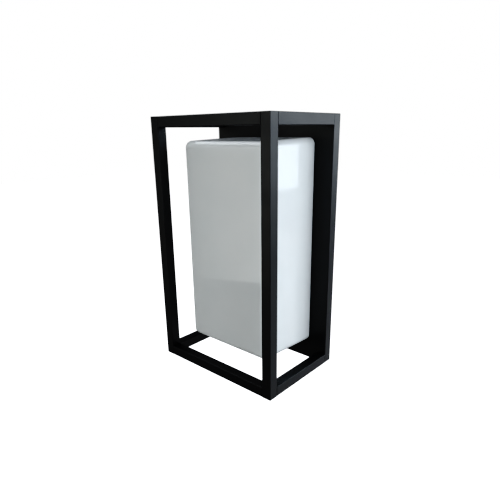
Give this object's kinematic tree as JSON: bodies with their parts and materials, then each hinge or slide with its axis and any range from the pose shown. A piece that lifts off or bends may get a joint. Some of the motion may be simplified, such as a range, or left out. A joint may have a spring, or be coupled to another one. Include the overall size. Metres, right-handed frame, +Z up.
{
  "type": "outdoor wall lantern",
  "caption": "Box-shaped outdoor wall lantern: open black square-bar cage on a shallow back box, with a glossy opal box diffuser that pulls off over a screw-in lamp.",
  "frame": {"origin": "on the wall plane, midway between the two wall screw slots of the bracket, behind the middle of the back box", "axes": "+Z up, +Y into the wall, so the lantern stands out along -Y; +X to the right seen from the front"},
  "size_m": [0.178, 0.121, 0.3],
  "materials": {
    "powder_coat_black": "fine satin powder coat",
    "opal_plastic": "glossy moulded opal",
    "galvanised_steel": "galvanised",
    "zinc_steel": "zinc plated",
    "spring_steel": "bright",
    "mill_aluminium": "mill finish",
    "black_rubber": "matte",
    "black_foam": "closed-cell foam",
    "white_enamel": "gloss white",
    "porcelain": "glazed",
    "brass": "bright",
    "nickel_plate": "bright nickel",
    "black_glass": "gloss",
    "lamp_white_plastic": "satin",
    "lamp_opal": "frosted",
    "circuit_green": "solder mask",
    "white_nylon": "satin",
    "wire_brown": "PVC",
    "wire_blue": "PVC",
    "wire_green_yellow": "PVC"
  },
  "bodies": {
    "lantern": {"front_post_left": "powder_coat_black", "front_post_right": "powder_coat_black", "front_rail_top": "powder_coat_black", "front_rail_bottom": "powder_coat_black", "side_rail_top_left": "powder_coat_black", "side_rail_top_right": "powder_coat_black", "side_rail_bottom_left": "powder_coat_black", "side_rail_bottom_right": "powder_coat_black", "post_end_caps": "powder_coat_black", "rail_plugs": "mill_aluminium", "cage_screws": "zinc_steel", "back_box": "powder_coat_black", "wall_seal": "black_foam", "wall_bracket": "galvanised_steel", "bracket_studs": "zinc_steel", "stud_washers": "black_rubber", "cap_nuts": "zinc_steel", "cable_grommet": "black_rubber", "reflector_plate": "white_enamel", "rivets": "mill_aluminium", "diffuser_clips": "spring_steel", "diffuser_gasket": "black_rubber", "lampholder_bracket": "white_enamel", "lampholder_body": "porcelain", "lampholder_shell": "brass", "lampholder_contact": "brass", "lampholder_nipple": "zinc_steel", "lampholder_nut": "zinc_steel", "terminal_block": "white_nylon", "terminal_barrels": "brass", "terminal_screws": "zinc_steel", "terminal_fixing_screws": "zinc_steel", "earth_screw": "brass", "earth_tag": "zinc_steel", "live_wire": "wire_brown", "neutral_wire": "wire_blue", "earth_wire": "wire_green_yellow"},
    "diffuser": {"diffuser": "opal_plastic"},
    "lamp": {"lamp_contact": "nickel_plate", "lamp_insulator": "black_glass", "lamp_cap": "nickel_plate", "lamp_housing": "lamp_white_plastic", "lamp_led_board": "mill_aluminium", "lamp_driver": "circuit_green", "lamp_globe": "lamp_opal"}
  },
  "joints": [
    {"name": "diffuser_pull", "type": "slide", "parent": "lantern", "child": "diffuser", "axis": [0, -1, 0], "range_m": [0, 0.115]},
    {"name": "lamp_turn", "type": "hinge", "parent": "lantern", "child": "lamp", "pos_m": [0, -0.054, 0], "axis": [0, 0, 1], "range_deg": [0, 900]}
  ]
}
